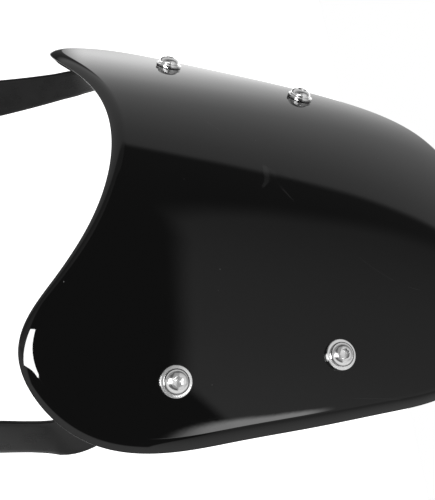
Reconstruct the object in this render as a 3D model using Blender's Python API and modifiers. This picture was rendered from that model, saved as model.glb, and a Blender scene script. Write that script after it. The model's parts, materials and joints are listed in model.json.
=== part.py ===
"""Motorcycle headlight fly screen: a formed plastic windshield screen on two twisted steel straps.

The screen is shown as it stands on a motorcycle: +Z up, the front facing -Y, and +X to the
rider's left. The origin is the middle of the tilt axis, which runs through the lower eyes of
both straps, where they bolt to the sides of the headlight.

The shape of the screen is worked out in the screen's own directions, in millimetres:
v across it, u up its centre line and w out of its front. place() turns these into metres.
"""

import math

import bmesh
import bpy
import numpy as np
from mathutils import Matrix, Vector

MM = 0.001
GAP = 0.3  # between neighbouring pieces

# The screen in its own directions (mm and radians)
RAKE = math.radians(35.0)  # the screen leans back this far from upright
WALL = 3.0
RIM_RADIUS = 7.8  # the edge rolls back at this radius,
RIM_TURN = math.radians(50.0)  # through this turn
CROWN_TURN = 0.594  # turn of the surface at 100 mm from the centre line, halfway up
CROWN_TURN_CHANGE = -0.202  # the same, gained for each 100 mm further up
SIDE_TURN = -0.086  # what the sides add to that, growing with the cube of the distance
SIDE_TURN_CHANGE = 0.182
SPINE_FALL = (0.0, 0.0, 2.43, 2.34, 0.57)  # fall of the centre line, a polynomial in u / 100
OUTLINE = (  # where the rim starts to roll, from the bottom middle round to the top middle:
    (0, -63),  # (distance across the surface, u)
    (36.5, -68),
    (70.5, -82),
    (96, -90),
    (111.5, -80.5),
    (123, -59.5),
    (123.5, -37),
    (116, -6.5),
    (107, 25.5),
    (97, 57.5),
    (87.5, 82),
    (73, 99.5),
    (51.5, 110),
    (26.5, 117),
    (0, 119.5),
)
OUTLINE_CENTRE_U = 15.0
OUTLINE_STEPS = 64
SURFACE_RINGS = 7
RING_SPACING = 0.9  # below 1, the rings draw together towards the edge
RIM_RINGS = 3

# Screws through the screen: (distance across the surface, u)
LOWER_SCREW = (101.0, -34.0)
UPPER_SCREW = (82.0, 34.0)
SCREW_RADIUS = 3.0
SCREW_HEAD_RADIUS = 5.25
SCREW_HEAD_HEIGHT = 3.3
SOCKET_FLATS = 4.0
SOCKET_DEPTH = 2.0
HOLE_RADIUS = 3.3
SCREW_BEYOND_NUT = 1.5
WASHER_RADIUS = 6.5
WASHER_THICKNESS = 1.2
SPACER_RADIUS = 7.5
SPACER_THICKNESS = 2.0
NUT_FLATS = 10.0
NUT_HEIGHT = 6.0
NUT_BEVEL = 0.6

# Every button head: a dome between a low rim and a flat land round the socket
HEAD_RIM = 0.4
HEAD_LAND = 0.3  # of the head's radius
DOME_STEPS = 5
TIP_CHAMFER = 0.12  # of the shank's radius
CUTTER_SPARE = 2.0  # cutters stand this far proud of what they cut

# Straps
STRAP_WIDTH = 26.5  # at the lower end
STRAP_TOP_WIDTH = 20.0
TAPER_FROM_U = -125.0
TAPER_TO_U = -85.0
STRAP_THICKNESS = 1.5
STRAP_TOP_U = 46.0
STRAP_STEPS = 34
STRAP_LANES = 4
STRAP_END_SPACING = 0.45  # how strongly the steps draw together towards the strap's ends
STRAP_DEPTH = WALL + GAP + SPACER_THICKNESS + GAP + STRAP_THICKNESS / 2  # under the outer face
BEND_FROM_U = -43.0  # below this the strap leaves the screen, bending back and twisting
BEND_TO_U = -74.0
TWIST_TO_U = -80.0
PLATE_V = 102.7  # the lower stretch stands fore and aft at this distance from the middle
PLATE_TOP_U = -70.0
PLATE_W = -61.0  # its middle line there
PLATE_SLOPE = 0.49  # it runs back as it goes down
SPREAD_FROM_U = -130.0  # above this the straps spread and lean a little towards the screen
PLATE_SPREAD = 0.0016
PLATE_LEAN = 0.0034
EYE_U = -156.0
END_STUB = 0.5  # the rounded ends stop this far short of their points

# Pivots at the lower eyes
PIVOT_RADIUS = 4.0
PIVOT_HOLE_RADIUS = 4.4
PIVOT_HEAD_RADIUS = 7.0
PIVOT_HEAD_HEIGHT = 4.4
PIVOT_SOCKET_FLATS = 5.0
PIVOT_SOCKET_DEPTH = 2.6
PIVOT_WASHER_RADIUS = 8.5
PIVOT_WASHER_THICKNESS = 1.6
PIVOT_SPACER_RADIUS = 9.0
PIVOT_SPACER_LENGTH = 12.0
PIVOT_BOLT_LENGTH = 36.0

ROUND_SIDES = 20
SIDES = {"left": 1, "right": -1}


def plate_w(u):
    """How far out of the screen the middle of the strap's lower stretch lies at u."""
    return PLATE_W + PLATE_SLOPE * (u - PLATE_TOP_U)


EYE_W = plate_w(EYE_U)


def place(point):
    """The world position, in metres, of a point (v, u, w) in millimetres."""
    v, u, w = (float(value) for value in point)
    up = u - EYE_U
    out = w - EYE_W
    y = up * math.sin(RAKE) - out * math.cos(RAKE)
    z = up * math.cos(RAKE) + out * math.sin(RAKE)
    return Vector((v * MM, y * MM, z * MM))


def direction(vector):
    """The world direction of a direction (v, u, w)."""
    return (place(vector) - place((0, 0, 0))).normalized()


# ---------------------------------------------------------------- shape of the screen


def screen_point(across, u):
    """(v, u, w) of the outer surface, at a distance across it from the centre line."""
    nodes, weights = np.polynomial.legendre.leggauss(10)
    up = u / 100
    reach = across / 100 * (nodes + 1) / 2
    turn = (CROWN_TURN + CROWN_TURN_CHANGE * up) * reach
    turn += (SIDE_TURN + SIDE_TURN_CHANGE * up) * reach**3
    v = across * np.sum(np.cos(turn) * weights) / 2
    fall = across * np.sum(np.sin(turn) * weights) / 2
    fall += np.polynomial.polynomial.polyval(up, SPINE_FALL)
    return np.array([v, u, -fall])


def screen_normal(across, u):
    step = 0.5
    along = screen_point(across + step, u) - screen_point(across - step, u)
    upward = screen_point(across, u + step) - screen_point(across, u - step)
    normal = np.cross(along, upward)
    return normal / np.linalg.norm(normal)


def closed_spline(points):
    """A function of 0 to 1 that gives the smooth closed cubic curve through the points."""
    points = np.vstack([points, points[:1]])
    lengths = np.linalg.norm(np.diff(points, axis=0), axis=1)
    knots = np.concatenate([[0], np.cumsum(lengths)]) / lengths.sum()
    spans = np.diff(knots)
    slopes = np.diff(points, axis=0) / spans[:, None]
    count = len(spans)
    rows = np.zeros((count, count))
    for i in range(count):
        rows[i, i - 1] = spans[i - 1]
        rows[i, i] = 2 * (spans[i - 1] + spans[i])
        rows[i, (i + 1) % count] = spans[i]
    bends = np.linalg.solve(rows, 6 * (slopes - np.roll(slopes, 1, axis=0)))

    def at(where):
        i = int(np.clip(np.searchsorted(knots, where, side="right") - 1, 0, count - 1))
        a = (knots[i + 1] - where) / spans[i]
        b = 1 - a
        bend = (a**3 - a) * bends[i] + (b**3 - b) * bends[(i + 1) % count]
        return a * points[i] + b * points[i + 1] + bend * spans[i] ** 2 / 6

    return at


def outline_curve():
    """The whole edge of the screen, as a closed curve of (distance across, u), from 0 to 1."""
    half = [(float(across), float(u)) for across, u in OUTLINE]
    other = [(-across, u) for across, u in half[-2:0:-1]]
    return closed_spline(np.array(half + other))


def edge_frame(edge, where):
    """The edge point on the surface, the way out of it in the surface, and the normal."""
    across, u = edge(where)
    ahead = screen_point(*edge((where + 0.001) % 1))
    behind = screen_point(*edge((where - 0.001) % 1))
    normal = screen_normal(across, u)
    outward = np.cross(ahead - behind, normal)
    return screen_point(across, u), outward / np.linalg.norm(outward), normal


def screen_surface_point(edge, where, ring):
    """A point on ring number `ring`, from the middle (0) out to the end of the rolled rim."""
    if ring <= SURFACE_RINGS:
        share = (ring / SURFACE_RINGS) ** RING_SPACING
        across, u = edge(where)
        middle = OUTLINE_CENTRE_U
        return screen_point(across * share, middle + (u - middle) * share)
    point, outward, normal = edge_frame(edge, where)
    angle = RIM_TURN * (ring - SURFACE_RINGS) / RIM_RINGS
    rolled = outward * math.sin(angle) - normal * (1 - math.cos(angle))
    return point + RIM_RADIUS * rolled


# ---------------------------------------------------------------- shape of the straps


def strap_across(u):
    """The distance across the screen at which the strap runs under it."""
    share = (u - LOWER_SCREW[1]) / (UPPER_SCREW[1] - LOWER_SCREW[1])
    return LOWER_SCREW[0] + share * (UPPER_SCREW[0] - LOWER_SCREW[0])


def strap_under_screen(u):
    across = strap_across(u)
    return screen_point(across, u) - STRAP_DEPTH * screen_normal(across, u)


def plate_point(u):
    return np.array([PLATE_V + PLATE_SPREAD * max(0, u - SPREAD_FROM_U) ** 2, u, plate_w(u)])


def strap_middle(u):
    """The left strap's middle line: along the screen, through one bend, then straight down."""
    if u >= BEND_FROM_U:
        return strap_under_screen(u)
    if u <= BEND_TO_U:
        return plate_point(u)
    span = BEND_FROM_U - BEND_TO_U
    share = (u - BEND_TO_U) / span
    ease = share * share * (3 - 2 * share)
    leaving = span * (strap_under_screen(BEND_FROM_U + 1) - strap_under_screen(BEND_FROM_U))
    arriving = span * (plate_point(BEND_TO_U) - plate_point(BEND_TO_U - 1))
    point = ease * strap_under_screen(BEND_FROM_U) + (1 - ease) * plate_point(BEND_TO_U)
    point += (share**3 - share**2) * leaving
    return point + (share**3 - 2 * share**2 + share) * arriving


def strap_frame(u):
    """A point on the strap's middle line, the way along it, across it and out of its face."""
    along = strap_middle(u - 0.5) - strap_middle(u + 0.5)
    along /= np.linalg.norm(along)
    share = np.clip((BEND_FROM_U - u) / (BEND_FROM_U - TWIST_TO_U), 0, 1)
    share = share * share * (3 - 2 * share)
    lying = screen_normal(strap_across(u), u)
    standing = np.array([1.0, 0, PLATE_LEAN * max(0, u - SPREAD_FROM_U)])
    face = (1 - share) * lying + share * standing
    across = np.cross(face, along)
    across /= np.linalg.norm(across)
    return strap_middle(u), along, across, np.cross(along, across)


def strap_half_width(u, bottom):
    """Tapers upwards, with a rounded top end and an end about the eye at the bottom."""
    share = min(max((u - TAPER_FROM_U) / (TAPER_TO_U - TAPER_FROM_U), 0), 1)
    half = (STRAP_WIDTH + share * (STRAP_TOP_WIDTH - STRAP_WIDTH)) / 2
    from_top = STRAP_TOP_U - u + END_STUB
    from_bottom = (u - bottom) * math.hypot(1, PLATE_SLOPE) + END_STUB
    near = min(from_top, from_bottom, half)
    return math.sqrt(half**2 - (half - near) ** 2)


# ---------------------------------------------------------------- building blocks


def material(name, colour, roughness, metallic=0.0, coat=0.0):
    made = bpy.data.materials.new(name)
    made.use_nodes = True
    shader = made.node_tree.nodes["Principled BSDF"]
    shader.inputs["Base Color"].default_value = (*colour, 1.0)
    shader.inputs["Roughness"].default_value = roughness
    shader.inputs["Metallic"].default_value = metallic
    shader.inputs["Coat Weight"].default_value = coat
    return made


def add_object(name, mesh, collection, finish=None):
    made = bpy.data.objects.new(name, mesh)
    collection.objects.link(made)
    if finish:
        mesh.materials.append(finish)
    return made


def grid_mesh(name, columns, rows, position, wrap):
    """A grid of columns x rows cells, each corner put where position(column, row) says."""
    shape = bmesh.new()
    bmesh.ops.create_grid(shape, x_segments=columns, y_segments=rows, size=0.5)
    for vertex in shape.verts:
        column = round((vertex.co.x + 0.5) * columns)
        row = round((vertex.co.y + 0.5) * rows)
        vertex.co = position(column % columns if wrap else column, row)
    bmesh.ops.remove_doubles(shape, verts=shape.verts, dist=1e-6)
    bmesh.ops.recalc_face_normals(shape, faces=shape.faces)
    mesh = bpy.data.meshes.new(name)
    shape.to_mesh(mesh)
    shape.free()
    mesh.shade_smooth()
    return mesh


def turn_normals_towards(mesh, way):
    """Faces the open sheet so that its average normal points along way."""
    total = Vector((0, 0, 0))
    for face in mesh.polygons:
        total += face.normal * face.area
    if total.dot(way) < 0:
        mesh.flip_normals()


def thicken(obj, thickness, offset):
    made = obj.modifiers.new("thickness", "SOLIDIFY")
    made.thickness = thickness * MM
    made.offset = offset
    made.use_even_offset = True
    made.use_quality_normals = True


def turned(name, profile, collection, finish=None, steps=ROUND_SIDES):
    """A round piece about its local Z, from (radius, height) points in mm, top to bottom outside."""
    mesh = bpy.data.meshes.new(name)
    points = [(radius * MM, 0, height * MM) for radius, height in profile]
    count = len(points)
    closed = profile[0][0] > 0
    edges = [(i, (i + 1) % count) for i in range(count if closed else count - 1)]
    mesh.from_pydata(points, edges, [])
    made = add_object(name, mesh, collection, finish)
    screw = made.modifiers.new("turn", "SCREW")
    screw.steps = steps
    screw.render_steps = steps
    screw.use_merge_vertices = True
    screw.merge_threshold = 0.00001
    screw.use_smooth_shade = False
    return made


def ring(name, inner, outer, bottom, top, collection, finish):
    """A flat washer or sleeve between two heights."""
    profile = [(inner, top), (outer, top), (outer, bottom), (inner, bottom)]
    return turned(name, profile, collection, finish)


def hexagon(name, flats, bottom, top, collection, finish=None, bevel=0.0):
    shape = bmesh.new()
    bmesh.ops.create_cone(
        shape,
        cap_ends=True,
        segments=6,
        radius1=flats / math.sqrt(3) * MM,
        radius2=flats / math.sqrt(3) * MM,
        depth=(top - bottom) * MM,
    )
    bmesh.ops.translate(shape, verts=shape.verts, vec=(0, 0, (top + bottom) / 2 * MM))
    mesh = bpy.data.meshes.new(name)
    shape.to_mesh(mesh)
    shape.free()
    made = add_object(name, mesh, collection, finish)
    if bevel:
        edge = made.modifiers.new("edge", "BEVEL")
        edge.width = bevel * MM
        edge.segments = 1
    return made


def cut(obj, cutter):
    made = obj.modifiers.new("cut " + cutter.name, "BOOLEAN")
    made.operation = "DIFFERENCE"
    made.object = cutter


def as_cutter(obj):
    obj.hide_render = True
    obj.display_type = "WIRE"
    return obj


def round_cutter(name, radius, bottom, top, cutters):
    profile = [(0, top), (radius, top), (radius, bottom), (0, bottom)]
    return as_cutter(turned(name, profile, cutters))


def dome_profile(head_radius, head_height):
    """(radius, height) points of a button head's dome, from its flat land down to its rim."""
    land = HEAD_LAND * head_radius
    profile = []
    for step in range(DOME_STEPS + 1):
        angle = math.pi / 2 * step / DOME_STEPS
        radius = land + (head_radius - land) * math.sin(angle)
        profile.append((radius, HEAD_RIM + (head_height - HEAD_RIM) * math.cos(angle)))
    return profile


def button_screw(name, sizes, tip, collection, cutters, finish):
    """A button-head screw with a hexagon socket: its head stands on height 0, its tip at -tip."""
    radius, head_radius, head_height, flats, depth = sizes
    chamfer = TIP_CHAMFER * radius
    profile = [(0, head_height), *dome_profile(head_radius, head_height)]
    profile += [(head_radius, 0), (radius, 0), (radius, chamfer - tip)]
    profile += [(radius - chamfer, -tip), (0, -tip)]
    made = turned(name, profile, collection, finish)
    mouth = head_height + CUTTER_SPARE
    socket = hexagon(name + "_socket", flats, head_height - depth, mouth, cutters)
    cut(made, as_cutter(socket))
    return made, socket


# ---------------------------------------------------------------- the pieces


def make_screen(collection, cutters, finish, holes):
    edge = outline_curve()
    rings = SURFACE_RINGS + RIM_RINGS

    def position(column, row):
        return place(screen_surface_point(edge, column / OUTLINE_STEPS, row))

    mesh = grid_mesh("screen_shell", OUTLINE_STEPS, rings, position, wrap=True)
    turn_normals_towards(mesh, direction((0, 0, 1)))
    made = add_object("screen_shell", mesh, collection, finish)
    thicken(made, WALL, -1)
    for name, axis in holes.items():
        low = -WALL - 2 * CUTTER_SPARE
        hole = round_cutter("screen_hole_" + name, HOLE_RADIUS, low, CUTTER_SPARE, cutters)
        hole.matrix_world = axis
        cut(made, hole)
    return made


def make_strap(side, collection, cutters, finish, holes, eye):
    sign = SIDES[side]
    top = STRAP_TOP_U
    bottom = EYE_U - (STRAP_WIDTH / 2 - END_STUB) / math.hypot(1, PLATE_SLOPE)

    def position(column, row):
        even = column / STRAP_STEPS
        eased = 0.5 - 0.5 * math.cos(math.pi * even)
        u = top + (bottom - top) * (even + STRAP_END_SPACING * (eased - even))
        point, _, across, _ = strap_frame(u)
        point = point + across * strap_half_width(u, bottom) * (2 * row / STRAP_LANES - 1)
        return place((sign * point[0], point[1], point[2]))

    name = "strap_" + side
    mesh = grid_mesh(name, STRAP_STEPS, STRAP_LANES, position, wrap=False)
    turn_normals_towards(mesh, direction((sign, 0, 1)))
    made = add_object(name, mesh, collection, finish)
    thicken(made, STRAP_THICKNESS, 0)
    low = -STRAP_DEPTH - 2 * CUTTER_SPARE
    high = -STRAP_DEPTH + 2 * CUTTER_SPARE
    for hole_name, axis in holes.items():
        if hole_name.endswith(side):
            hole = round_cutter("strap_hole_" + hole_name, HOLE_RADIUS, low, high, cutters)
            hole.matrix_world = axis
            cut(made, hole)
    reach = STRAP_THICKNESS + CUTTER_SPARE
    hole = round_cutter("strap_eye_" + side, PIVOT_HOLE_RADIUS, -reach, reach, cutters)
    hole.matrix_world = eye
    cut(made, hole)
    return made


def screw_axes():
    """The seat of each screw on the screen's outer face, with local Z out of the face."""
    seats = {}
    for height, (across, u) in (("lower", LOWER_SCREW), ("upper", UPPER_SCREW)):
        for side, sign in SIDES.items():
            v, _, w = screen_point(across, u)
            normal = screen_normal(across, u)
            out = direction((sign * normal[0], normal[1], normal[2]))
            turn = out.to_track_quat("Z", "Y").to_matrix().to_4x4()
            seats[f"{height}_{side}"] = Matrix.Translation(place((sign * v, u, w))) @ turn
    return seats


def make_screw_stack(name, seat, collection, cutters, finishes):
    """One fastening through the screen and its strap, from the screw's head to its nut."""
    empty = bpy.data.objects.new("seat_" + name, None)
    collection.objects.link(empty)
    empty.matrix_world = seat

    washer = (GAP, GAP + WASHER_THICKNESS)
    head = washer[1] + GAP
    depth = WALL + GAP
    spacer = (-depth - SPACER_THICKNESS, -depth)
    depth += SPACER_THICKNESS + GAP + STRAP_THICKNESS + GAP
    backing = (-depth - WASHER_THICKNESS, -depth)
    depth += WASHER_THICKNESS + GAP
    nut = (-depth - NUT_HEIGHT, -depth)
    tip = head + depth + NUT_HEIGHT + SCREW_BEYOND_NUT

    steel = finishes["steel"]
    rubber = finishes["rubber"]
    pieces = [
        ring("washer_" + name, HOLE_RADIUS, WASHER_RADIUS, *washer, collection, steel),
        ring("spacer_" + name, HOLE_RADIUS, SPACER_RADIUS, *spacer, collection, rubber),
        ring("back_washer_" + name, HOLE_RADIUS, WASHER_RADIUS, *backing, collection, steel),
    ]
    hexagon_nut = hexagon("nut_" + name, NUT_FLATS, *nut, collection, steel, bevel=NUT_BEVEL)
    low = nut[0] - CUTTER_SPARE
    high = nut[1] + CUTTER_SPARE
    bore = round_cutter("nut_bore_" + name, HOLE_RADIUS, low, high, cutters)
    cut(hexagon_nut, bore)
    sizes = (SCREW_RADIUS, SCREW_HEAD_RADIUS, SCREW_HEAD_HEIGHT, SOCKET_FLATS, SOCKET_DEPTH)
    screw, socket = button_screw("screw_" + name, sizes, tip, collection, cutters, steel)
    for piece in (screw, socket):
        piece.location.z = head * MM
    for piece in [*pieces, hexagon_nut, bore, screw, socket]:
        piece.parent = empty


def eye_axis(side):
    """The middle of a strap's eye on the tilt axis, with local Z out of the motorcycle's side."""
    sign = SIDES[side]
    turn = Matrix.Rotation(sign * math.pi / 2, 4, "Y")
    return Matrix.Translation((sign * PLATE_V * MM, 0, 0)) @ turn


def make_pivot(side, collection, cutters, finishes):
    """The bolt, washer and spacer that hold a strap's eye to the side of the headlight."""
    empty = bpy.data.objects.new("eye_" + side, None)
    collection.objects.link(empty)
    empty.matrix_world = eye_axis(side)

    face = STRAP_THICKNESS / 2 + GAP
    washer = (face, face + PIVOT_WASHER_THICKNESS)
    head = washer[1] + GAP
    spacer = (-face - PIVOT_SPACER_LENGTH, -face)
    steel = finishes["steel"]
    black = finishes["strap"]
    pieces = [
        ring(f"pivot_{kind}_{side}", PIVOT_HOLE_RADIUS, radius, *heights, collection, finish)
        for kind, radius, heights, finish in (
            ("washer", PIVOT_WASHER_RADIUS, washer, steel),
            ("spacer", PIVOT_SPACER_RADIUS, spacer, black),
        )
    ]
    sizes = (
        PIVOT_RADIUS,
        PIVOT_HEAD_RADIUS,
        PIVOT_HEAD_HEIGHT,
        PIVOT_SOCKET_FLATS,
        PIVOT_SOCKET_DEPTH,
    )
    name = "pivot_bolt_" + side
    bolt, socket = button_screw(name, sizes, PIVOT_BOLT_LENGTH, collection, cutters, steel)
    for piece in (bolt, socket):
        piece.location.z = head * MM
    for piece in [*pieces, bolt, socket]:
        piece.parent = empty


def main():
    for obj in list(bpy.data.objects):
        bpy.data.objects.remove(obj, do_unlink=True)
    collection = bpy.data.collections.new("windshield_screen")
    cutters = bpy.data.collections.new("cutters")
    bpy.context.scene.collection.children.link(collection)
    bpy.context.scene.collection.children.link(cutters)

    finishes = {
        "screen": material("gloss_black_plastic", (0.006, 0.006, 0.007), 0.06, coat=0.5),
        "strap": material("satin_black_steel", (0.02, 0.02, 0.021), 0.42),
        "steel": material("bright_steel", (0.72, 0.72, 0.73), 0.2, metallic=1.0),
        "rubber": material("black_rubber", (0.012, 0.012, 0.012), 0.7),
    }
    seats = screw_axes()
    make_screen(collection, cutters, finishes["screen"], seats)
    for side in SIDES:
        make_strap(side, collection, cutters, finishes["strap"], seats, eye_axis(side))
        make_pivot(side, collection, cutters, finishes)
    for name, seat in seats.items():
        make_screw_stack(name, seat, collection, cutters, finishes)


main()
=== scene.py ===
"""The looks of the motorcycle windshield screen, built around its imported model.

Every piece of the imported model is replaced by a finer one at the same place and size: the
formed screen with its rolled rim, the twisted straps with broken edges, and turned, threaded
and rounded hardware. Directions and sizes are the part's own: v runs across the screen, u up
its centre line and w out of its front, in millimetres. place() turns them into metres.
"""

import json
import math
from collections import namedtuple

import bmesh
import bpy
import numpy as np
from mathutils import Matrix, Vector

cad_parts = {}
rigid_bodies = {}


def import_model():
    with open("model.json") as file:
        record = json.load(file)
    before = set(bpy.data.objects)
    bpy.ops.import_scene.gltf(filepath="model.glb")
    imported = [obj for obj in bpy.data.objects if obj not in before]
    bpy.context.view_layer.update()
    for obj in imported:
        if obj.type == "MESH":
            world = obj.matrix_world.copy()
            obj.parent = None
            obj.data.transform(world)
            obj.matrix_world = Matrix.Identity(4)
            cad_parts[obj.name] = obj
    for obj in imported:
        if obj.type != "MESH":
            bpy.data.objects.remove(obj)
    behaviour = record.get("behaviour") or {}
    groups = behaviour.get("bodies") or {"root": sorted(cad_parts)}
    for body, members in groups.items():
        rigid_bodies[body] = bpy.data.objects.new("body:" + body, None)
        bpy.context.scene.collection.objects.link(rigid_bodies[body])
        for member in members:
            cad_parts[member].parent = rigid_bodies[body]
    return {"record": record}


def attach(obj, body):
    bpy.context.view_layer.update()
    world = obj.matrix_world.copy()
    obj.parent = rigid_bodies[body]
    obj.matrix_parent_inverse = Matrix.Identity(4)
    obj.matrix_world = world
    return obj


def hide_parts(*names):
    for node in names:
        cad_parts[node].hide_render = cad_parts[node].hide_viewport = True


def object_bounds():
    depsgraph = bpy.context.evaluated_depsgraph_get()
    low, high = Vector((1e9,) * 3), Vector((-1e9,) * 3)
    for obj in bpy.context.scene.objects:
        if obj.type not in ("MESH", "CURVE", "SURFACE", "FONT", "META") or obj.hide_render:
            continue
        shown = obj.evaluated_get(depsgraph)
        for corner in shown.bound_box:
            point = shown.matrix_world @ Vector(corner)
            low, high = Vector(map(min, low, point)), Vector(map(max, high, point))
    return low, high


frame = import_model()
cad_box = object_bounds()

MM = 0.001
SIDES = {"left": 1, "right": -1}
BODY_OF = {
    node: body
    for body, nodes in frame["record"]["behaviour"]["bodies"].items()
    for node in nodes
}

# The screen (mm and radians)
RAKE = math.radians(35.0)  # it leans back this far from upright
WALL = 3.0
RIM_RADIUS = 7.8  # the edge rolls back at this radius,
RIM_TURN = math.radians(50.0)  # through this turn
EDGE_RADIUS = 0.5  # the cut end of the rolled rim is broken by this, and by less inside
INNER_EDGE_RADIUS = 0.3
CROWN_TURN = 0.594  # turn of the surface at 100 mm from the centre line, halfway up
CROWN_TURN_CHANGE = -0.202  # the same, gained for each 100 mm further up
SIDE_TURN = -0.086  # what the sides add to that, growing with the cube of the distance
SIDE_TURN_CHANGE = 0.182
SPINE_FALL = (0.0, 0.0, 2.43, 2.34, 0.57)  # fall of the centre line, a polynomial in u / 100
OUTLINE = (  # where the rim starts to roll, from the bottom middle round to the top middle:
    # (distance across the surface, u)
    (0, -63),
    (36.5, -68),
    (70.5, -82),
    (96, -90),
    (111.5, -80.5),
    (123, -59.5),
    (123.5, -37),
    (116, -6.5),
    (107, 25.5),
    (97, 57.5),
    (87.5, 82),
    (73, 99.5),
    (51.5, 110),
    (26.5, 117),
    (0, 119.5),
)
OUTLINE_CENTRE_U = 15.0
OUTLINE_STEPS = 400
OUTER_RINGS = 56
INNER_RINGS = 34
RING_CROWDING = 1.5  # above 1, the rings draw together towards the edge

# Fastenings through the screen
LOWER_SCREW = (101.0, -34.0)  # (distance across the surface, u)
UPPER_SCREW = (82.0, 34.0)
HOLE_RADIUS = 3.3
GAP = 0.3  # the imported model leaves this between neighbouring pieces; here they touch
WASHER_RADIUS = 6.5
WASHER_THICKNESS = 1.2
WASHER_EDGE = 0.3  # radius of its outer edges; the inner ones have half of it
HEAD_SEAT = 1.8  # underside of the screw's head above the screen's outer face
SPACER_RADIUS = 7.5
SPACER_THICKNESS = 2.0
SPACER_EDGE = 0.5
NUT_FLATS = 10.0
NUT_HEIGHT = 6.0
NUT_BORE = 3.02
NUT_MOUTH = 0.5  # countersink at both ends of its bore
NUT_FACE = 0.96  # of its flats: the round face left where the corners are turned off
NUT_CROWN = 0.8  # height of the turned part
NUT_CROWN_SLOPE = 1.73
NUT_CROWN_STEPS = 5

# Button-head screws
ScrewSize = namedtuple(
    "ScrewSize", "radius head_radius head_height flats socket_depth tip pitch thread_from"
)
SCREW = ScrewSize(3.0, 5.25, 3.3, 4.0, 2.0, tip=18.3, pitch=1.0, thread_from=6.0)
PIVOT_BOLT = ScrewSize(4.0, 7.0, 4.4, 5.0, 2.6, tip=36.0, pitch=1.25, thread_from=12.0)
HEAD_RIM = 0.4  # the straight part of a head below its dome
HEAD_LAND = 0.3  # of the head's radius: the flat round the socket
HEAD_EDGE = 0.12  # chamfer under the rim
HEAD_FILLET = 0.3  # between head and shank
MOUTH_SPREAD = 1.1  # the socket's countersink, beyond the hexagon's corners 1 mm above the head
MOUTH_FOOT = 0.8  # of the corners' radius, at its lower end
MOUTH_DEPTH = 0.4
CONE_RADIUS = 0.42  # of the flats: the cone that the drill left under the hexagon
CONE_DEPTH = 0.45
TIP_CHAMFER = 0.12  # of the shank's radius,
TIP_CHAMFER_MORE = 0.4  # and this many millimetres more
THREAD_ROWS = 8  # to each turn of the thread
THREAD_DEPTH = 0.61  # of its pitch

# Pivots at the lower eyes
PIVOT_HOLE_RADIUS = 4.4
PIVOT_WASHER_RADIUS = 8.5
PIVOT_WASHER_EDGE = 0.4
PIVOT_HEAD_SEAT = 2.2  # underside of the bolt's head above the strap's face
PIVOT_SPACER_RADIUS = 9.0
PIVOT_SPACER_LENGTH = 12.3
PIVOT_SPACER_EDGE = 0.6

SHARP = 28  # edges of the hardware that turn by more degrees than this are sharp

# Straps
STRAP_WIDTH = 26.5  # at the lower end
STRAP_TOP_WIDTH = 20.0
TAPER_FROM_U = -125.0
TAPER_TO_U = -85.0
STRAP_THICKNESS = 1.5
STRAP_EDGE = 0.3
STRAP_DEPTH = 6.35  # its middle below the outer face of the screen
STRAP_TOP_U = 46.0
BEND_FROM_U = -43.0  # below this the strap leaves the screen, bending back and twisting
BEND_TO_U = -74.0
TWIST_TO_U = -80.0
PLATE_V = 102.7  # the lower stretch stands fore and aft at this distance from the middle
PLATE_TOP_U = -70.0
PLATE_W = -61.0  # its middle line there
PLATE_SLOPE = 0.49  # it runs back as it goes down
SPREAD_FROM_U = -130.0  # above this the straps spread and lean a little towards the screen
PLATE_SPREAD = 0.0016
PLATE_LEAN = 0.0034
EYE_U = -156.0
END_STUB = 0.5  # the rounded ends stop this far short of their points
STRAP_STEPS = 180
STRAP_END_CROWDING = 0.7  # share of the steps' spacing that draws together at the ends
STRAP_LANES = 8


def plate_w(u):
    """How far out of the screen the middle of the strap's lower stretch lies at u."""
    return PLATE_W + PLATE_SLOPE * (u - PLATE_TOP_U)


def place(point):
    """World positions, in metres, of points (..., 3) given as (v, u, w) in millimetres."""
    point = np.asarray(point, float)
    up = point[..., 1] - EYE_U
    out = point[..., 2] - plate_w(EYE_U)
    y = up * math.sin(RAKE) - out * math.cos(RAKE)
    z = up * math.cos(RAKE) + out * math.sin(RAKE)
    return np.stack([point[..., 0], y, z], axis=-1) * MM


def direction(vector):
    """The world direction of a direction (v, u, w)."""
    return Vector(place(vector) - place((0, 0, 0))).normalized()


# ---------------------------------------------------------------- shape of the screen


def screen_point(across, u):
    """(v, u, w) of the outer surface, at distances across it from the centre line."""
    nodes, weights = np.polynomial.legendre.leggauss(10)
    across, u = np.broadcast_arrays(np.asarray(across, float), np.asarray(u, float))
    up = u / 100
    reach = across[..., None] / 100 * (nodes + 1) / 2
    turn = (CROWN_TURN + CROWN_TURN_CHANGE * up)[..., None] * reach
    turn = turn + (SIDE_TURN + SIDE_TURN_CHANGE * up)[..., None] * reach**3
    v = across * np.sum(np.cos(turn) * weights, axis=-1) / 2
    fall = across * np.sum(np.sin(turn) * weights, axis=-1) / 2
    fall = fall + np.polynomial.polynomial.polyval(up, SPINE_FALL)
    return np.stack([v, u, -fall], axis=-1)


def unit(vectors):
    return vectors / np.linalg.norm(vectors, axis=-1, keepdims=True)


def screen_normal(across, u):
    step = 0.5
    along = screen_point(across + step, u) - screen_point(across - step, u)
    upward = screen_point(across, u + step) - screen_point(across, u - step)
    return unit(np.cross(along, upward))


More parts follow.
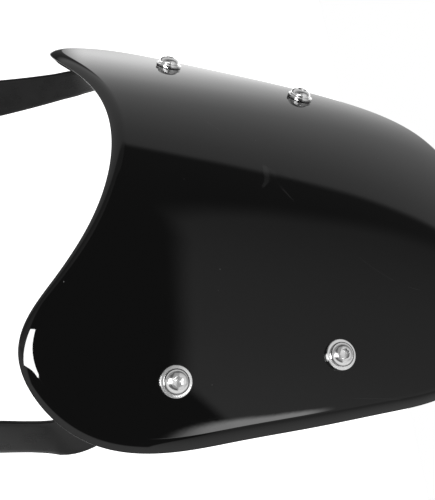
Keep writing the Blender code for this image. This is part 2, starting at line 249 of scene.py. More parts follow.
def outline_curve(where):
    """Points (distance across, u) of the screen's edge, a smooth closed curve, for 0 to 1."""
    half = [(float(across), float(u)) for across, u in OUTLINE]
    points = np.array(half + [(-across, u) for across, u in half[-2:0:-1]])
    points = np.vstack([points, points[:1]])
    lengths = np.linalg.norm(np.diff(points, axis=0), axis=1)
    knots = np.concatenate([[0], np.cumsum(lengths)]) / lengths.sum()
    spans = np.diff(knots)
    slopes = np.diff(points, axis=0) / spans[:, None]
    count = len(spans)
    rows = np.zeros((count, count))
    for i in range(count):
        rows[i, i - 1] = spans[i - 1]
        rows[i, i] = 2 * (spans[i - 1] + spans[i])
        rows[i, (i + 1) % count] = spans[i]
    bends = np.linalg.solve(rows, 6 * (slopes - np.roll(slopes, 1, axis=0)))
    where = np.asarray(where) % 1.0
    i = np.clip(np.searchsorted(knots, where, side="right") - 1, 0, count - 1)
    a = ((knots[i + 1] - where) / spans[i])[:, None]
    b = 1 - a
    bend = (a**3 - a) * bends[i] + (b**3 - b) * bends[(i + 1) % count]
    return a * points[i] + b * points[i + 1] + bend * spans[i][:, None] ** 2 / 6


def rim_profile():
    """The rim's section from the outer face round to the inner one: (outward, along normal)."""
    inner = RIM_RADIUS - WALL
    lean = math.asin(EDGE_RADIUS / (RIM_RADIUS - EDGE_RADIUS))
    inner_lean = math.asin(INNER_EDGE_RADIUS / (inner + INNER_EDGE_RADIUS))
    section = []

    def arc(centre, radius, start, end, steps, first=0):
        for step in range(first, steps + 1):
            angle = start + (end - start) * step / steps
            x = centre[0] + radius * math.sin(angle)
            section.append((x, centre[1] + radius * math.cos(angle) - RIM_RADIUS))

    quarter = math.pi / 2
    end = RIM_TURN
    arc((0, 0), RIM_RADIUS, 0, end - lean, 12, first=1)
    reach = RIM_RADIUS - EDGE_RADIUS
    centre = (reach * math.sin(end - lean), reach * math.cos(end - lean))
    arc(centre, EDGE_RADIUS, end - lean, end + quarter, 5, first=1)
    reach = inner + INNER_EDGE_RADIUS
    centre = (reach * math.sin(end - inner_lean), reach * math.cos(end - inner_lean))
    arc(centre, INNER_EDGE_RADIUS, end + quarter, end + 2 * quarter - inner_lean, 4)
    arc((0, 0), inner, end - inner_lean, 0, 6, first=1)
    return section


def sheet_from_grid(name, points, wrap_rows=False):
    """A smooth mesh from a grid of points [row, column, 3], closed round its columns."""
    rows, columns = points.shape[:2]
    mesh = bpy.data.meshes.new(name)
    number = np.arange(rows * columns).reshape(rows, columns)
    nearer = number if wrap_rows else number[:-1]
    further = np.roll(number, -1, axis=0) if wrap_rows else number[1:]
    faces = np.stack(
        [nearer, further, np.roll(further, -1, axis=1), np.roll(nearer, -1, axis=1)], axis=-1
    )
    mesh.from_pydata(points.reshape(-1, 3).tolist(), [], faces.reshape(-1, 4).tolist())
    shape = bmesh.new()
    shape.from_mesh(mesh)
    bmesh.ops.remove_doubles(shape, verts=shape.verts, dist=1e-7)
    bmesh.ops.recalc_face_normals(shape, faces=shape.faces)
    shape.to_mesh(mesh)
    shape.free()
    mesh.shade_smooth()
    return mesh


def screen_mesh():
    """Outer skin from its middle to the edge, the rolled rim, and the inner skin back again."""
    where = np.arange(OUTLINE_STEPS) / OUTLINE_STEPS
    edge = outline_curve(where)
    step = 0.001
    tangent = screen_point(*outline_curve(where + step).T) - screen_point(*outline_curve(where - step).T)
    point = screen_point(*edge.T)
    normal = screen_normal(*edge.T)
    outward = unit(np.cross(tangent, normal))
    middle = np.array([0, OUTLINE_CENTRE_U])

    def skin(rings, depth):
        """Rings of one face, closer together near the edge, at this depth below the outer one."""
        for ring in range(rings + 1):
            share = 1 - (1 - ring / rings) ** RING_CROWDING
            across, u = (middle + (edge - middle) * share).T
            yield screen_point(across, u) - depth * screen_normal(across, u)

    rings = list(skin(OUTER_RINGS, 0))
    rings += [point + x * outward + y * normal for x, y in rim_profile()]
    rings += list(skin(INNER_RINGS, WALL))[::-1][1:]
    return sheet_from_grid("screen_shell_detail", place(np.array(rings)))


# ---------------------------------------------------------------- shape of the straps


def strap_across(u):
    share = (u - LOWER_SCREW[1]) / (UPPER_SCREW[1] - LOWER_SCREW[1])
    return LOWER_SCREW[0] + share * (UPPER_SCREW[0] - LOWER_SCREW[0])


def strap_under_screen(u):
    across = strap_across(u)
    return screen_point(across, u) - STRAP_DEPTH * screen_normal(across, u)


def plate_point(u):
    return np.array([PLATE_V + PLATE_SPREAD * max(0, u - SPREAD_FROM_U) ** 2, u, plate_w(u)])


def strap_middle(u):
    """The left strap's middle line: along the screen, through one bend, then straight down."""
    if u >= BEND_FROM_U:
        return strap_under_screen(u)
    if u <= BEND_TO_U:
        return plate_point(u)
    span = BEND_FROM_U - BEND_TO_U
    share = (u - BEND_TO_U) / span
    ease = share * share * (3 - 2 * share)
    leaving = span * (strap_under_screen(BEND_FROM_U + 1) - strap_under_screen(BEND_FROM_U))
    arriving = span * (plate_point(BEND_TO_U) - plate_point(BEND_TO_U - 1))
    point = ease * strap_under_screen(BEND_FROM_U) + (1 - ease) * plate_point(BEND_TO_U)
    point += (share**3 - share**2) * leaving
    return point + (share**3 - 2 * share**2 + share) * arriving


def strap_frame(u):
    """A point on the strap's middle line and the way across its face."""
    along = unit(strap_middle(u - 0.5) - strap_middle(u + 0.5))
    share = np.clip((BEND_FROM_U - u) / (BEND_FROM_U - TWIST_TO_U), 0, 1)
    share = share * share * (3 - 2 * share)
    lying = screen_normal(strap_across(u), u)
    standing = np.array([1.0, 0, PLATE_LEAN * max(0, u - SPREAD_FROM_U)])
    across = unit(np.cross((1 - share) * lying + share * standing, along))
    return strap_middle(u), across


def strap_half_width(u, bottom):
    """Tapers upwards, with a rounded top end and an end about the eye at the bottom."""
    share = min(max((u - TAPER_FROM_U) / (TAPER_TO_U - TAPER_FROM_U), 0), 1)
    half = (STRAP_WIDTH + share * (STRAP_TOP_WIDTH - STRAP_WIDTH)) / 2
    from_top = STRAP_TOP_U - u + END_STUB
    from_bottom = (u - bottom) * math.hypot(1, PLATE_SLOPE) + END_STUB
    near = min(from_top, from_bottom, half)
    return math.sqrt(half**2 - (half - near) ** 2)


def strap_mesh(side):
    """The strap's middle sheet, which is thickened afterwards."""
    top = STRAP_TOP_U
    bottom = EYE_U - (STRAP_WIDTH / 2 - END_STUB) / math.hypot(1, PLATE_SLOPE)
    points = []
    for step in range(STRAP_STEPS + 1):
        even = step / STRAP_STEPS
        eased = 0.5 - 0.5 * math.cos(math.pi * even)
        u = top + (bottom - top) * ((1 - STRAP_END_CROWDING) * even + STRAP_END_CROWDING * eased)
        middle, across = strap_frame(u)
        half = strap_half_width(u, bottom)
        lanes = [middle + across * half * (2 * i / STRAP_LANES - 1) for i in range(STRAP_LANES + 1)]
        points.append(lanes)
    points = np.array(points) * (SIDES[side], 1, 1)
    rows, columns = points.shape[:2]
    number = np.arange(rows * columns).reshape(rows, columns)
    faces = np.stack([number[:-1, :-1], number[1:, :-1], number[1:, 1:], number[:-1, 1:]], axis=-1)
    mesh = bpy.data.meshes.new("strap")
    mesh.from_pydata(place(points).reshape(-1, 3).tolist(), [], faces.reshape(-1, 4).tolist())
    mesh.shade_smooth()
    return mesh


# ---------------------------------------------------------------- building blocks


def add_object(name, mesh, finish=None, matrix=None):
    """A new object, placed by matrix, whose only material is finish."""
    made = bpy.data.objects.new(name, mesh)
    bpy.context.scene.collection.objects.link(made)
    if matrix:
        made.matrix_world = matrix
    if finish:
        mesh.materials.clear()
        mesh.materials.append(finish)
    return made


def settle(obj, sharp_degrees):
    """Applies the object's modifiers, removes their cutters and marks its sharp edges."""
    cutters = {m.object for m in obj.modifiers if m.type == "BOOLEAN"}
    bpy.context.view_layer.update()
    evaluated = obj.evaluated_get(bpy.context.evaluated_depsgraph_get())
    mesh = bpy.data.meshes.new_from_object(evaluated)
    obj.modifiers.clear()
    obj.data = mesh
    mesh.shade_smooth()
    mesh.set_sharp_from_angle(angle=math.radians(sharp_degrees))
    for cutter in cutters:
        bpy.data.objects.remove(cutter)


def stand_for(obj, node):
    """obj takes the place of this CAD node, on its body."""
    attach(obj, BODY_OF[node])
    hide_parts(node)


def turned_mesh(name, profile, steps=72):
    """A piece turned about Z from (radius, height) points in mm, or from a function of the angle."""
    columns = []
    for angle in 2 * math.pi * np.arange(steps) / steps:
        section = np.array(profile(angle) if callable(profile) else profile)
        x = section[:, 0] * math.cos(angle)
        y = section[:, 0] * math.sin(angle)
        columns.append(np.stack([x, y, section[:, 1]], axis=-1))
    points = np.array(columns).transpose(1, 0, 2) * MM
    ring = section[0, 0] > 0
    return sheet_from_grid(name, points, wrap_rows=ring)


def rounded(corners, radii, steps=4):
    """The closed or open profile through these corners with each one rounded by its radius."""
    profile = []
    count = len(corners)
    for i, (corner, radius) in enumerate(zip(corners, radii)):
        here = Vector(corner)
        if not radius:
            profile.append(tuple(here))
            continue
        before = (Vector(corners[i - 1]) - here).normalized()
        after = (Vector(corners[(i + 1) % count]) - here).normalized()
        half = before.angle(after) / 2
        reach = radius / math.tan(half)
        start = here + before * reach
        end = here + after * reach
        centre = here + (before + after).normalized() * radius / math.sin(half)
        for step in range(steps + 1):
            way = (start - centre).lerp(end - centre, step / steps).normalized()
            profile.append(tuple(centre + way * radius))
    return profile


def washer_mesh(inner, outer, bottom, top, edge):
    """A ring between two radii and two heights, its outer edges rounded by edge."""
    corners = [(inner, top), (outer, top), (outer, bottom), (inner, bottom)]
    return turned_mesh("ring", rounded(corners, [edge / 2, edge, edge, edge / 2]))


def hexagon_cutter(flats, bottom, top, matrix):
    shape = bmesh.new()
    radius = flats / math.sqrt(3) * MM
    bmesh.ops.create_cone(
        shape, cap_ends=True, segments=6, radius1=radius, radius2=radius, depth=(top - bottom) * MM
    )
    bmesh.ops.translate(shape, verts=shape.verts, vec=(0, 0, (top + bottom) / 2 * MM))
    mesh = bpy.data.meshes.new("cutter")
    shape.to_mesh(mesh)
    shape.free()
    return add_object("cutter", mesh, matrix=matrix)


def round_cutter(profile, matrix):
    return add_object("cutter", turned_mesh("cutter", profile, steps=48), matrix=matrix)


def drill(radius, top, bottom, matrix):
    return round_cutter([(0, top), (radius, top), (radius, bottom), (0, bottom)], matrix)


def cut(obj, cutter):
    made = obj.modifiers.new("cut", "BOOLEAN")
    made.operation = "DIFFERENCE"
    made.object = cutter


def thread_depth(height, angle, pitch):
    """How deep a thread with flat crests and roots is below its crests, at a height and an angle."""
    share = (height / pitch + angle / (2 * math.pi)) % 1.0
    ramp = abs(2 * share - 1)
    return THREAD_DEPTH * pitch * min(1.0, max(0.0, 1.25 * ramp - 0.15))


# ---------------------------------------------------------------- the pieces


def make_screen(finish, seats):
    made = add_object("screen_shell_detail", screen_mesh(), finish)
    for seat in seats.values():
        cut(made, drill(HOLE_RADIUS, 6, -8, seat))
    settle(made, sharp_degrees=50)
    stand_for(made, "screen_shell")


def make_strap(side, finish, seats):
    made = add_object(f"strap_{side}_detail", strap_mesh(side), finish)
    thick = made.modifiers.new("thickness", "SOLIDIFY")
    thick.thickness = STRAP_THICKNESS * MM
    thick.offset = 0
    edge = made.modifiers.new("edges", "BEVEL")
    edge.width = STRAP_EDGE * MM
    edge.segments = 3
    edge.limit_method = "ANGLE"
    edge.angle_limit = math.radians(50)
    for name, seat in seats.items():
        if name.endswith(side):
            cut(made, drill(HOLE_RADIUS, -2, -14, seat))
    cut(made, drill(PIVOT_HOLE_RADIUS, 12, -12, eye_axis(side)))
    settle(made, sharp_degrees=35)
    stand_for(made, "strap_" + side)


def screw_seats():
    """The seat of each screw on the screen's outer face, with local Z out of the face."""
    seats = {}
    for height, (across, u) in (("lower", LOWER_SCREW), ("upper", UPPER_SCREW)):
        for side, sign in SIDES.items():
            point = screen_point(across, u) * (sign, 1, 1)
            normal = screen_normal(across, u) * (sign, 1, 1)
            turn = direction(normal).to_track_quat("Z", "Y").to_matrix().to_4x4()
            seats[f"{height}_{side}"] = Matrix.Translation(place(point)) @ turn
    return seats


def eye_axis(side):
    """The strap's eye on the tilt axis, with local Z away from the middle of the part."""
    sign = SIDES[side]
    turn = Matrix.Rotation(sign * math.pi / 2, 4, "Y")
    return Matrix.Translation((sign * PLATE_V * MM, 0, 0)) @ turn


def dome_profile(head_radius, head_height, steps=14):
    """(radius, height) points of a button head's dome, from its flat land down to its rim."""
    land = HEAD_LAND * head_radius
    profile = []
    for step in range(steps + 1):
        angle = math.pi / 2 * step / steps
        radius = land + (head_radius - land) * math.sin(angle)
        profile.append((radius, HEAD_RIM + (head_height - HEAD_RIM) * math.cos(angle)))
    return profile


def cut_socket(screw, matrix, size, turn):
    """A hexagon socket with a countersunk mouth and its drill's cone at the bottom."""
    top = size.head_height
    floor = top - size.socket_depth
    corner = size.flats / math.sqrt(3)
    spin = matrix @ Matrix.Rotation(turn, 4, "Z")
    cut(screw, hexagon_cutter(size.flats, floor, top + 2, spin))
    mouth = [(0, top + 1), (corner + MOUTH_SPREAD, top + 1)]
    mouth += [(corner * MOUTH_FOOT, top - MOUTH_DEPTH), (0, top - MOUTH_DEPTH)]
    cut(screw, round_cutter(mouth, matrix))
    cone = [(0, floor + 0.1), (size.flats * CONE_RADIUS, floor + 0.1), (0, floor - CONE_DEPTH)]
    cut(screw, round_cutter(cone, matrix))


def make_screw(node, matrix, finish, size, turn):
    """A button-head screw: dome, rim, socket, shank and thread. It takes the place of its node."""
    radius = size.radius
    head = [(0, size.head_height), *dome_profile(size.head_radius, size.head_height)]
    head += [(size.head_radius, HEAD_EDGE), (size.head_radius - HEAD_EDGE, 0)]
    head += [(radius + HEAD_FILLET, 0), (radius, -HEAD_FILLET)]
    chamfer = TIP_CHAMFER * radius + TIP_CHAMFER_MORE
    threaded = size.tip - size.thread_from
    rows = math.ceil(threaded / size.pitch * THREAD_ROWS)

    def profile(angle):
        section = [*head, (radius, -size.thread_from + 0.3)]
        for row in range(rows + 1):
            height = -size.thread_from - threaded * row / rows
            depth = thread_depth(height, angle, size.pitch) * min(1, row / THREAD_ROWS)
            limit = radius - max(0, chamfer - (height + size.tip))
            section.append((min(radius - depth, limit), height))
        section.append((0, -size.tip))
        return section

    name = node + "_detail"
    made = add_object(name, turned_mesh(name, profile, steps=64), finish, matrix)
    cut_socket(made, matrix, size, turn)
    settle(made, SHARP)
    stand_for(made, node)


def nut_mesh(bottom, top):
    """A hexagon nut whose corners are turned off at both ends, with a countersunk bore."""
    mouth = NUT_BORE + NUT_MOUTH
    face = NUT_FLATS / 2 * NUT_FACE

    def profile(angle):
        off = (angle + math.pi / 6) % (math.pi / 3) - math.pi / 6
        reach = NUT_FLATS / 2 / math.cos(off)
        section = [(NUT_BORE, bottom + NUT_MOUTH), (mouth, bottom), (face, bottom)]
        crown = []
        for step in range(NUT_CROWN_STEPS + 1):
            rise = NUT_CROWN * step / NUT_CROWN_STEPS
            crown.append((min(reach, face + NUT_CROWN_SLOPE * rise), rise))
        section += [(radius, bottom + rise) for radius, rise in crown]
        section += [(radius, top - rise) for radius, rise in reversed(crown)]
        section += [(face, top), (mouth, top), (NUT_BORE, top - NUT_MOUTH)]
        return section

    return turned_mesh("nut", profile, steps=96)


def make_ring(node, mesh, finish, matrix):
    """A washer, spacer or nut, which takes the place of its node."""
    made = add_object(node + "_detail", mesh, finish, matrix)
    mesh.set_sharp_from_angle(angle=math.radians(SHARP))
    stand_for(made, node)


def make_screw_stack(name, seat, finishes, turn):
    """One fastening through the screen and its strap, from the screw's head to its nut."""
    strap_top = -(WALL + GAP + SPACER_THICKNESS + GAP)
    strap_bottom = strap_top - STRAP_THICKNESS
    nut_top = strap_bottom - GAP - WASHER_THICKNESS
    nut_bottom = nut_top - GAP - NUT_HEIGHT
    steel = finishes["steel"]
    for prefix, outer, bottom, top, edge, finish in (
        ("washer", WASHER_RADIUS, 0.0, HEAD_SEAT, WASHER_EDGE, steel),
        ("spacer", SPACER_RADIUS, strap_top, -WALL, SPACER_EDGE, finishes["rubber"]),
        ("back_washer", WASHER_RADIUS, nut_top, strap_bottom, WASHER_EDGE, steel),
    ):
        mesh = washer_mesh(HOLE_RADIUS, outer, bottom, top, edge)
        make_ring(f"{prefix}_{name}", mesh, finish, seat)
    make_ring("nut_" + name, nut_mesh(nut_bottom, nut_top), steel, seat)
    head_seat = seat @ Matrix.Translation((0, 0, HEAD_SEAT * MM))
    make_screw("screw_" + name, head_seat, steel, SCREW, turn)


def make_pivot(side, finishes):
    """The bolt, washer and spacer that hold a strap's eye to the side of the headlight."""
    axis = eye_axis(side)
    face = STRAP_THICKNESS / 2
    seat = face + PIVOT_HEAD_SEAT
    spacer_end = -face - PIVOT_SPACER_LENGTH
    for prefix, outer, bottom, top, edge, finish in (
        ("pivot_washer", PIVOT_WASHER_RADIUS, face, seat, PIVOT_WASHER_EDGE, "steel"),
        ("pivot_spacer", PIVOT_SPACER_RADIUS, spacer_end, -face, PIVOT_SPACER_EDGE, "strap"),
    ):
        mesh = washer_mesh(PIVOT_HOLE_RADIUS, outer, bottom, top, edge)
        make_ring(f"{prefix}_{side}", mesh, finishes[finish], axis)
    head_seat = axis @ Matrix.Translation((0, 0, seat * MM))
    make_screw("pivot_bolt_" + side, head_seat, finishes["steel"], PIVOT_BOLT, turn=0.2)


# ---------------------------------------------------------------- materials


class Tree:
    """A node tree with short ways to add nodes and link them."""

    def __init__(self, tree):
        self.tree = tree

    def add(self, kind, inputs=(), **settings):
        node = self.tree.nodes.new("ShaderNode" + kind)
        for key, value in settings.items():
            setattr(node, key, value)
        for key, value in dict(inputs).items():
            if isinstance(value, bpy.types.NodeSocket):
                self.tree.links.new(value, node.inputs[key])
            else:
                node.inputs[key].default_value = value
        return node

    def math(self, operation, a, b=0.0):
        return self.add("Math", {0: a, 1: b}, operation=operation).outputs[0]


class Nodes(Tree):
    """A new material's node tree."""

    def __init__(self, name):
        self.material = bpy.data.materials.new(name)
        self.material.use_nodes = True
        super().__init__(self.material.node_tree)
        self.shader = self.tree.nodes["Principled BSDF"]

    def link(self, value, socket):
        self.tree.links.new(value, self.shader.inputs[socket])

    def set(self, **values):
        for socket, value in values.items():
            self.shader.inputs[socket.replace("_", " ")].default_value = value

    def position(self):
        return self.add("TexCoord").outputs["Object"]

    def noise(self, scale, detail=2.0):
        inputs = {"Vector": self.position(), "Scale": scale, "Detail": detail}
        return self.add("TexNoise", inputs).outputs["Fac"]

    def mottle(self, scale, detail, low, high):
        """Noise that wanders between two values."""
        return self.band(self.noise(scale, detail), 0.3, 0.7, low, high)

    def band(self, value, low, high, out_low, out_high):
        """value from low to high becomes out_low to out_high, and stays there beyond."""
        inputs = {"Value": value, "From Min": low, "From Max": high}
        inputs |= {"To Min": out_low, "To Max": out_high}
        return self.add("MapRange", inputs).outputs["Result"]

    def bump(self, height, distance, under=None):
        inputs = {"Height": height, "Distance": distance, "Strength": 1.0}
        if under:
            inputs["Normal"] = under
        return self.add("Bump", inputs).outputs["Normal"]

    def grey(self, value):
        return self.add("CombineColor", {"Red": value, "Green": value, "Blue": value}).outputs[0]


def gloss_plastic():
    """Piano-gloss black plastic: slow ripples, faint orange peel, sparse dust and hair scratches."""
    n = Nodes("gloss_black_plastic")
    ripple = n.bump(n.noise(24.0, 1.0), 0.00009)
    peel = n.bump(n.noise(380.0, 1.0), 0.0000012, under=ripple)
    n.link(peel, "Normal")
    speck = n.add("TexVoronoi", {"Vector": n.position(), "Scale": 230.0})
    chance = n.add("SeparateColor", {"Color": speck.outputs["Color"]}).outputs[0]
    rare = n.band(chance, 0.93, 0.94, 0, 1)
    small = n.band(speck.outputs["Distance"], 0.035, 0.06, 1, 0)
    dust = n.math("MULTIPLY", rare, small)
    line = n.math("ABSOLUTE", n.math("SUBTRACT", n.noise(11.0, 0.0), 0.5))
    thin = n.band(line, 0.0004, 0.0009, 1, 0)
    hair = n.math("MULTIPLY", thin, n.band(n.noise(45.0), 0.62, 0.68, 0, 1))
    marks = n.math("ADD", n.math("MULTIPLY", dust, 0.16), n.math("MULTIPLY", hair, 0.03))
    black = 0.0035
    n.link(n.grey(n.math("ADD", marks, black)), "Base Color")
    haze = n.band(n.noise(60.0, 4.0), 0.35, 0.75, 0.012, 0.03)
    n.link(n.math("ADD", haze, n.math("MULTIPLY", dust, 0.6)), "Roughness")
    n.set(IOR=1.5)
    return n.material


def satin_steel():
    """Satin black powder coat with its fine pebbled skin."""
    n = Nodes("satin_black_powder_coat")
    pebbles = n.bump(n.noise(1500.0), 0.000012)
    n.link(n.bump(n.noise(90.0), 0.00002, under=pebbles), "Normal")
    n.link(n.grey(n.mottle(260.0, 4.0, 0.003, 0.005)), "Base Color")
    n.link(n.mottle(130.0, 3.0, 0.25, 0.32), "Roughness")
    return n.material


def bright_steel():
    """Polished stainless steel with faint marks of turning round each piece's own axis."""
    n = Nodes("bright_stainless_steel")
    position = n.position()
    flat = n.add("VectorMath", {0: position, 1: (1.0, 1.0, 0.0)}, operation="MULTIPLY").outputs[0]
    radius = n.add("VectorMath", {0: flat}, operation="LENGTH").outputs["Value"]
    along = n.add("SeparateXYZ", {0: position}).outputs["Z"]
    turned = n.math("ADD", radius, n.math("MULTIPLY", along, 0.37))
    inputs = {"W": turned, "Scale": 5200.0, "Detail": 2.0}
    rings = n.add("TexNoise", inputs, noise_dimensions="1D").outputs["Fac"]
    grooves = n.bump(rings, 0.0000022)
    n.link(n.bump(n.noise(700.0), 0.000004, under=grooves), "Normal")
    n.link(n.grey(n.mottle(420.0, 3.0, 0.86, 0.95)), "Base Color")
    n.link(n.mottle(900.0, 3.0, 0.12, 0.2), "Roughness")
    n.set(Metallic=1.0)
    return n.material


def black_rubber():
    """Matt moulded rubber, slightly mottled."""
    n = Nodes("black_moulded_rubber")
    n.link(n.bump(n.noise(1100.0, 3.0), 0.00002), "Normal")
    n.link(n.grey(n.mottle(300.0, 3.0, 0.010, 0.018)), "Base Color")
    n.link(n.mottle(500.0, 2.0, 0.6, 0.75), "Roughness")
    return n.material


# ---------------------------------------------------------------- studio

# Light reaching the part from round the screen's own u axis: (degrees round from w to v, radiance)
STUDIO_ROUND = (
    (-180, 0.8),
    (-150, 1.4),
    (-139, 2.2),
    (-125, 2.0),
    (-112, 1.5),
    (-96, 1.0),
    (-88, 0.78),
    (-80, 0.64),
    (-60, 0.53),
    (-49, 0.47),
    (-47.5, 0.46),
    (-45.5, 0.19),
    (-44, 0.19),
    (-39, 0.18),
    (-32, 0.23),
    (-24, 0.28),
    (-12, 0.36),
    (0, 0.41),
    (16, 0.46),
    (28, 0.56),
    (33, 0.58),
    (38, 0.34),
    (46, 0.4),
    (56, 0.6),
    (70, 0.72),
    (90, 0.8),
    (118, 0.7),
    (130, 0.34),
    (141, 0.2),
    (152, 0.24),
    (180, 0.5),
)
STUDIO_BRIGHTEST = 2.2

# The dark room in front of the screen, which that light doesn't reach. Its sides are angles round,
# in radians, and its height is a direction's part along u. Each edge fades from its first value
# to its second.
DARK_ROOM = 0.1
ROOM_LEFT = (-0.78, -0.84)
ROOM_LEFT_SHIFTS = ((0.1, -0.1, 0.2), (-0.25, -0.5, 0.3))  # (from, to, shift) as it goes down
ROOM_RIGHT = (1.30, 1.45)
ROOM_BOTTOM = (-0.68, -0.76)
ROOM_TOP = 0.1815
ROOM_TOP_SLOPE = -0.085
ROOM_TOP_SLOPES = (-0.17, 0.62)  # between these angles
ROOM_TOP_FADE = 0.019  # half the height over which the top edge fades,
FADE_GAIN_LEFT = 0.3  # and what that gains for each radian past CLIMB_LEFT_FROM
FADE_LOSS_RIGHT = 0.1  # and loses of the climb on the right
CLIMB_LEFT_FROM = math.radians(-16)  # beyond this the top climbs with the square of the angle
CLIMB_LEFT = 2.6
CLIMB_RIGHT_FROM = math.radians(27)  # beyond this it climbs evenly, for a short stretch
CLIMB_RIGHT = 0.8
CLIMB_RIGHT_LENGTH = 0.12
FAR_SHADE_ANGLES = ((-1.40, -1.62), (-2.05, -1.95))  # a second dark patch low on the far side
FAR_SHADE_TOP = (0.085, 0.045)

# A thin bright gap, as between two panels, that bends away as it rises
BRIGHT_GAP = 4.0
GAP_ANGLE = 0.604
GAP_BEND = 1.5
GAP_BEND_FROM = 0.105
GAP_HALF_WIDTH = (0.026, 0.008)
GAP_FOOT = (0.13, 0.20)
GAP_TOP = (0.37, 0.31)

# Panel lamps beside the camera, each of which only one finish sees. Their corners as seen from
# the part, in degrees: (round from w to v, up towards u)
LAMP_AIM = (100, -75, -35)  # (v, u, w) of the point that they stand round
GLINT_CORNERS = ((31, -4), (20, -16), (11, -42), (66, -58), (52, -42), (37, -12))
FILL_CORNERS = ((-20, -12), (55, -12), (60, 40), (-20, 50))
LAMPS = (  # (name, finish, corners, radiance, distance in metres)
    ("shell_lamp", "screen", GLINT_CORNERS, 26.0, 1.5),
    ("steel_lamp", "steel", GLINT_CORNERS, 2.5, 1.6),
    ("steel_fill", "steel", FILL_CORNERS, 0.22, 1.7),
)

FLOOR_RADIUS = 12.0
FLOOR_BELOW = 0.0005  # the lowest point of the part

# The camera looks from the part's left front, turned so that the part's top is on the right
CAMERA_PLACE = (0.27920, -0.28517, 0.23492)
CAMERA_FORWARD = (-0.63156, 0.75280, -0.18554)
CAMERA_RIGHT = (0.04817, 0.27694, 0.95968)
CAMERA_LENS = 65.06
CAMERA_SENSOR = 36.0
CAMERA_SHIFT = (0.0016, -0.0081)


class Studio(Tree):
    """The world's node tree, with what its directions are made of."""

    def part(self, way, axis):
        """The part of a direction that lies along an axis (v, u, w) of the screen."""
        inputs = {0: way, 1: tuple(direction(axis))}
        return self.add("VectorMath", inputs, operation="DOT_PRODUCT").outputs["Value"]

    def rise(self, value, low, high):
        """0 up to low and 1 from high on, or the other way round when high is the lower."""
        inputs = {"Value": value, "From Min": low, "From Max": high}
        return self.add("MapRange", inputs, interpolation_type="SMOOTHSTEP").outputs[0]


def round_light(n, angle):
    """The light at an angle round the screen's u axis, as STUDIO_ROUND gives it."""
    turn = n.add("MapRange", {"Value": angle, "From Min": -math.pi, "From Max": math.pi}).outputs[0]
    ramp = n.add("ValToRGB", {"Fac": turn})
    ramp.color_ramp.interpolation = "B_SPLINE"
    stops = ramp.color_ramp.elements
    for i, (degrees, radiance) in enumerate(STUDIO_ROUND):
        where = (degrees + 180) / 360
        stop = stops[i] if i < 1 else stops.new(where)
        stop.position = where
        stop.color = (radiance / STUDIO_BRIGHTEST,) * 3 + (1,)
    return n.math("MULTIPLY", ramp.outputs["Color"], STUDIO_BRIGHTEST)


def outside_room(n, angle, upward):
    """0 in the dark room and 1 outside it. Its top edge slopes, and climbs at both ends."""
    shift = 0.0
    for start, end, most in ROOM_LEFT_SHIFTS:
        shift = n.math("ADD", shift, n.math("MULTIPLY", n.rise(upward, start, end), most))
    left = n.rise(n.math("SUBTRACT", angle, shift), *ROOM_LEFT)
    right = n.rise(angle, *ROOM_RIGHT)
    below = n.rise(upward, *ROOM_BOTTOM)
    past_left = n.math("MAXIMUM", n.math("SUBTRACT", CLIMB_LEFT_FROM, angle), 0.0)
    past_right = n.math("MAXIMUM", n.math("SUBTRACT", angle, CLIMB_RIGHT_FROM), 0.0)
    past_right = n.math("MINIMUM", past_right, CLIMB_RIGHT_LENGTH)
    climb_left = n.math("MULTIPLY", n.math("MULTIPLY", past_left, past_left), CLIMB_LEFT)
    climb_right = n.math("MULTIPLY", past_right, CLIMB_RIGHT)
    sloping = n.math("MINIMUM", angle, ROOM_TOP_SLOPES[1])
    sloping = n.math("MAXIMUM", sloping, ROOM_TOP_SLOPES[0])
    top = n.math("ADD", n.math("MULTIPLY", sloping, ROOM_TOP_SLOPE), ROOM_TOP)
    top = n.math("ADD", top, n.math("ADD", climb_left, climb_right))
    fade = n.math("ADD", ROOM_TOP_FADE, n.math("MULTIPLY", past_left, FADE_GAIN_LEFT))
    fade = n.math("SUBTRACT", fade, n.math("MULTIPLY", climb_right, FADE_LOSS_RIGHT))
    above = n.rise(n.math("DIVIDE", n.math("SUBTRACT", upward, top), fade), -1.0, 1.0)
    share = n.math("MAXIMUM", above, left)
    return n.math("MAXIMUM", share, n.math("MAXIMUM", right, below))


def far_shade(n, angle, upward):
    """1 in the dark patch on the far side, and 0 outside it."""
    near, far = FAR_SHADE_ANGLES
    shade = n.math("MULTIPLY", n.rise(angle, *near), n.rise(angle, *far))
    return n.math("MULTIPLY", shade, n.rise(upward, *FAR_SHADE_TOP))


def bright_gap(n, angle, upward):
    """1 in the bright gap and 0 outside it."""
    height = n.math("SUBTRACT", upward, GAP_BEND_FROM)
    bend = n.math("MULTIPLY", n.math("MULTIPLY", height, height), GAP_BEND)
    aside = n.math("ABSOLUTE", n.math("SUBTRACT", n.math("ADD", angle, bend), GAP_ANGLE))
    gap = n.math("MULTIPLY", n.rise(aside, *GAP_HALF_WIDTH), n.rise(upward, *GAP_FOOT))
    return n.math("MULTIPLY", gap, n.rise(upward, *GAP_TOP))


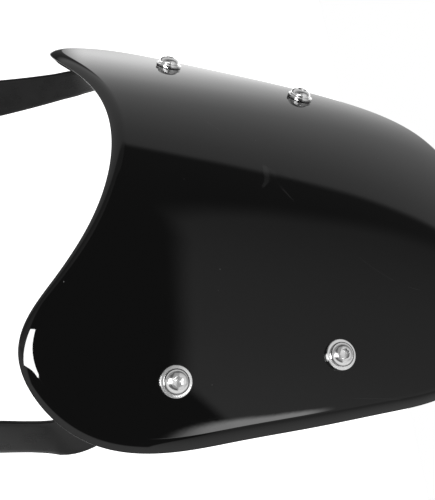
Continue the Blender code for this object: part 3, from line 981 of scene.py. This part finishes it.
def make_world():
    """A studio that only the part sees: where the camera looks, it is plain white."""
    world = bpy.data.worlds.new("studio")
    bpy.context.scene.world = world
    world.use_nodes = True
    world.node_tree.nodes.clear()
    n = Studio(world.node_tree)
    way = n.add("TexCoord").outputs["Generated"]
    upward = n.part(way, (0, 1, 0))
    angle = n.math("ARCTAN2", n.part(way, (1, 0, 0)), n.part(way, (0, 0, 1)))
    share = outside_room(n, angle, upward)
    share = n.math("MULTIPLY", share, n.math("SUBTRACT", 1.0, far_shade(n, angle, upward)))
    light = n.math("MULTIPLY", round_light(n, angle), share)
    dark = n.math("MULTIPLY", n.math("SUBTRACT", 1.0, share), DARK_ROOM)
    gap = n.math("MULTIPLY", bright_gap(n, angle, upward), BRIGHT_GAP)
    total = n.math("ADD", n.math("ADD", light, dark), gap)
    studio = n.add("Background", {"Color": total, "Strength": 1.0})
    white = n.add("Background", {"Color": (1, 1, 1, 1), "Strength": 1.0})
    seen = n.add("LightPath").outputs["Is Camera Ray"]
    mix = n.add("MixShader", {0: seen, 1: studio.outputs[0], 2: white.outputs[0]})
    n.add("OutputWorld", {"Surface": mix.outputs[0]})


def make_floor():
    """A plain pale floor just under the part, which throws no light on it."""
    shape = bmesh.new()
    bmesh.ops.create_circle(shape, cap_ends=True, segments=96, radius=FLOOR_RADIUS)
    mesh = bpy.data.meshes.new("floor")
    shape.to_mesh(mesh)
    shape.free()
    n = Nodes("pale_floor")
    n.link(n.grey(n.mottle(3.0, 2.0, 0.90, 0.93)), "Base Color")
    n.set(Roughness=0.9, Emission_Color=(1, 1, 1, 1), Emission_Strength=1.0)
    floor = add_object("floor", mesh, n.material)
    floor.location.z = cad_box[0].z - FLOOR_BELOW
    floor.visible_glossy = False
    floor.visible_diffuse = False
    floor.visible_shadow = False


def make_lamp(name, finish, corners, radiance, distance):
    """A clear glowing panel, which only the reflections of the pieces with one finish show."""
    points = []
    for around, up in corners:
        around = math.radians(around)
        up = math.radians(up)
        way = (math.cos(up) * math.sin(around), math.sin(up), math.cos(up) * math.cos(around))
        points.append(Vector(place(LAMP_AIM)) + direction(way) * distance)
    mesh = bpy.data.meshes.new(name)
    mesh.from_pydata(points, [], [tuple(range(len(points)))])
    n = Nodes(name)
    glow = n.add("Emission", {"Color": (1, 1, 1, 1), "Strength": radiance})
    clear = n.add("BsdfTransparent")
    both = n.add("AddShader", {0: glow.outputs[0], 1: clear.outputs[0]})
    n.tree.links.new(both.outputs[0], n.tree.nodes["Material Output"].inputs["Surface"])
    lamp = add_object(name, mesh, n.material)
    lamp.visible_camera = False
    lamp.visible_diffuse = False
    lamp.visible_shadow = False
    lit = bpy.data.collections.new("lit_by_" + name)
    for piece in bpy.context.scene.objects:
        if piece.type == "MESH" and finish.name in piece.data.materials:
            lit.objects.link(piece)
    lamp.light_linking.receiver_collection = lit


def make_camera():
    data = bpy.data.cameras.new("camera")
    data.sensor_width = CAMERA_SENSOR
    data.lens = CAMERA_LENS
    data.shift_x, data.shift_y = CAMERA_SHIFT
    camera = bpy.data.objects.new("camera", data)
    bpy.context.scene.collection.objects.link(camera)
    forward = Vector(CAMERA_FORWARD).normalized()
    right = Vector(CAMERA_RIGHT)
    right = (right - right.dot(forward) * forward).normalized()
    turn = Matrix((right, right.cross(forward), -forward)).transposed()
    camera.matrix_world = Matrix.Translation(CAMERA_PLACE) @ turn.to_4x4()
    bpy.context.scene.camera = camera


def main():
    bpy.context.scene.view_settings.view_transform = "Standard"
    make_camera()
    make_world()
    make_floor()
    finishes = {
        "screen": gloss_plastic(),
        "strap": satin_steel(),
        "steel": bright_steel(),
        "rubber": black_rubber(),
    }
    seats = screw_seats()
    make_screen(finishes["screen"], seats)
    for side in SIDES:
        make_strap(side, finishes["strap"], seats)
        make_pivot(side, finishes)
    for number, (name, seat) in enumerate(seats.items()):
        make_screw_stack(name, seat, finishes, turn=0.3 + 0.9 * number)
    for name, finish, corners, radiance, distance in LAMPS:
        make_lamp(name, finishes[finish], corners, radiance, distance)


main()
